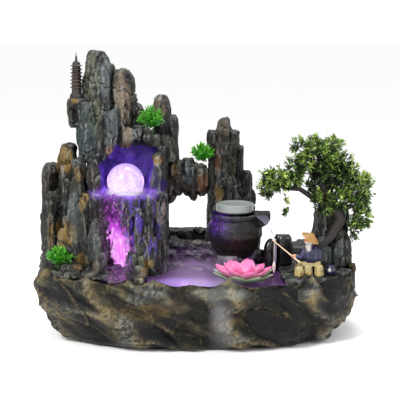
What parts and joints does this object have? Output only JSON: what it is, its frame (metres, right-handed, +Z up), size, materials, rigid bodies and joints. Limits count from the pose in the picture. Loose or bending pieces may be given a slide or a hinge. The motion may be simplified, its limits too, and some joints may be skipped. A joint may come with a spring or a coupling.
{
  "type": "tabletop water fountain",
  "caption": "Rockery water fountain in a long basin: lit ball in a cave over a cascade, overflowing jar with a dish, bonsai, fisherman, lotus, pagoda and grass tufts.",
  "frame": {"origin": "middle of the flat underside, on the surface the fountain stands on", "axes": "+Z up, +X to the right seen from the front, the front faces -Y"},
  "size_m": [0.3745, 0.192, 0.3104],
  "materials": {
    "cast_rock": "matt, dry-brushed",
    "basin_rock": "matt, dry-brushed",
    "dark_rock": "wet",
    "jar_clay": "satin",
    "pad_rubber": "matt",
    "black_plastic": "matt",
    "hose_vinyl": "clear",
    "magnet": "satin",
    "shaft_ceramic": "polished",
    "steel": "satin",
    "crackle_glass": "crackled",
    "clear_plastic": "clear",
    "circuit_board": "satin",
    "led": "gloss",
    "dish_glaze": "satin",
    "pagoda_resin": "satin",
    "bark": "satin",
    "leaf": "satin",
    "grass": "satin",
    "lotus_pink": "matt",
    "lotus_green": "matt",
    "navy_coat": "satin",
    "tan_trousers": "satin",
    "straw": "satin",
    "blue_creel": "gloss",
    "rod": "satin",
    "line": "satin",
    "fish": "gloss"
  },
  "bodies": {
    "fountain": {"basin": "basin_rock", "anti_slip_pads": "pad_rubber", "lower_cliff": "cast_rock", "left_buttress": "cast_rock", "upper_cliff": "cast_rock", "left_ledge": "cast_rock", "rear_steps": "cast_rock", "rock_arch": "cast_rock", "right_pillar": "cast_rock", "fisher_ledge": "cast_rock", "tree_rock": "cast_rock", "splash_rock_left": "dark_rock", "splash_rock_right": "dark_rock", "stone_jar": "jar_clay", "jar_standpipe": "black_plastic", "ball_cup": "clear_plastic", "lamp_housing": "black_plastic", "lamp_board": "circuit_board", "lamp_leds": "led", "lamp_lens": "clear_plastic", "pump_housing": "black_plastic", "impeller_shaft": "shaft_ceramic", "impeller_cover": "black_plastic", "suction_cups": "pad_rubber", "tee_fitting": "black_plastic", "ball_hose": "hose_vinyl", "jar_hose": "hose_vinyl", "pagoda_tower": "pagoda_resin", "pagoda_spire": "pagoda_resin", "tree_trunk": "bark", "tree_branches": "bark", "foliage_crown": "leaf", "foliage_heart": "leaf", "foliage_left": "leaf", "foliage_right": "leaf", "foliage_low": "leaf", "grass_left": "grass", "grass_peak": "grass", "grass_arch": "grass", "fisherman_body": "navy_coat", "fisherman_trousers": "tan_trousers", "fisherman_hat": "straw", "creel": "blue_creel", "fishing_rod": "rod"},
    "ball": {"crystal_ball": "crackle_glass"},
    "impeller_wheel": {"impeller": "magnet"},
    "strainer": {"pump_strainer": "black_plastic"},
    "dial": {"flow_dial": "black_plastic"},
    "hatch": {"rear_cover": "cast_rock", "cable_grommet": "pad_rubber"},
    "dish": {"jar_dish": "dish_glaze"},
    "lotus": {"lotus_leaves": "lotus_green", "lotus_petals": "lotus_pink"},
    "line_and_fish": {"fishing_line": "line", "fish": "fish"},
    "mist_maker": {"mist_body": "black_plastic", "mist_disc": "steel", "mist_ring": "black_plastic", "mist_leds": "led", "mist_sensor": "steel"}
  },
  "joints": [
    {"name": "ball_roll", "type": "hinge", "parent": "fountain", "child": "ball", "pos_m": [-0.07923, 0.003, 0.1685], "axis": [1, 0, 0], "continuous": true},
    {"name": "impeller_spin", "type": "hinge", "parent": "fountain", "child": "impeller_wheel", "pos_m": [-0.06823, 0.045, 0.032], "axis": [0, 1, 0], "continuous": true},
    {"name": "strainer_pull", "type": "slide", "parent": "fountain", "child": "strainer", "axis": [0, 1, 0], "range_m": [0, 0.004]},
    {"name": "dial_turn", "type": "hinge", "parent": "strainer", "child": "dial", "pos_m": [-0.06823, 0.07, 0.032], "axis": [0, 1, 0], "range_deg": [0, 90]},
    {"name": "hatch_pull", "type": "slide", "parent": "fountain", "child": "hatch", "axis": [0, 1, 0], "range_m": [0, 0.06]},
    {"name": "dish_lift", "type": "slide", "parent": "fountain", "child": "dish", "axis": [0, 0, 1], "range_m": [0, 0.05]},
    {"name": "lotus_lift", "type": "slide", "parent": "fountain", "child": "lotus", "axis": [0, 0, 1], "range_m": [0, 0.06]},
    {"name": "line_swing", "type": "hinge", "parent": "fountain", "child": "line_and_fish", "pos_m": [0.084, -0.022, 0.108], "axis": [1, 0, 0], "range_deg": [-12, 12]},
    {"name": "mist_maker_lift", "type": "slide", "parent": "fountain", "child": "mist_maker", "axis": [0, 0, 1], "range_m": [0, 0.09]}
  ]
}
